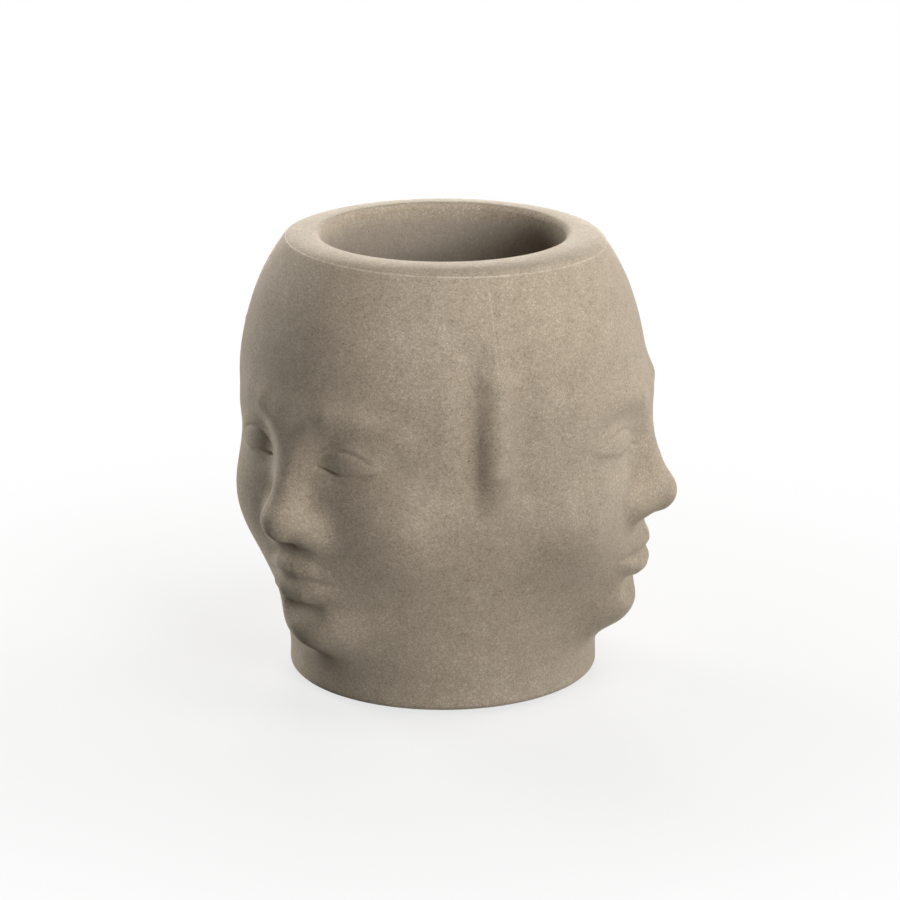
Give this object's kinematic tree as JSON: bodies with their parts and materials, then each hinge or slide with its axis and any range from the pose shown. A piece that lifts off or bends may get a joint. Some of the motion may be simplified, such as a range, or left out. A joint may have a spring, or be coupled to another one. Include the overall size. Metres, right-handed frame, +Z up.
{
  "type": "planter pot",
  "caption": "Cast tabletop planter with calm relief heads round a bellied body, an inward-curving crown, a round mouth, a lift-out drain stopper and foot pads.",
  "frame": {"origin": "on the surface that the pot stands on, under the middle of its outline; the pot's own axis is 5.4 mm towards +Y from there, because one head's nose reaches furthest to -Y", "axes": "+Z up along the pot's axis; one head looks along -Y and the two others 120 degrees to either side of it"},
  "size_m": [0.1598, 0.1712, 0.1715],
  "materials": {
    "cast_stone": "matte, fine sandy grain with small pinholes",
    "plug_rubber": "soft matte",
    "pad_foam": "matte, finely pored"
  },
  "bodies": {
    "pot": {"pot_body": "cast_stone", "base_pad_1": "pad_foam", "base_pad_2": "pad_foam", "base_pad_3": "pad_foam", "base_pad_4": "pad_foam"},
    "plug": {"drain_plug": "plug_rubber"}
  },
  "joints": [
    {"name": "plug_lift", "type": "slide", "parent": "pot", "child": "plug", "axis": [0, 0, 1], "range_m": [0, 0.175]}
  ]
}
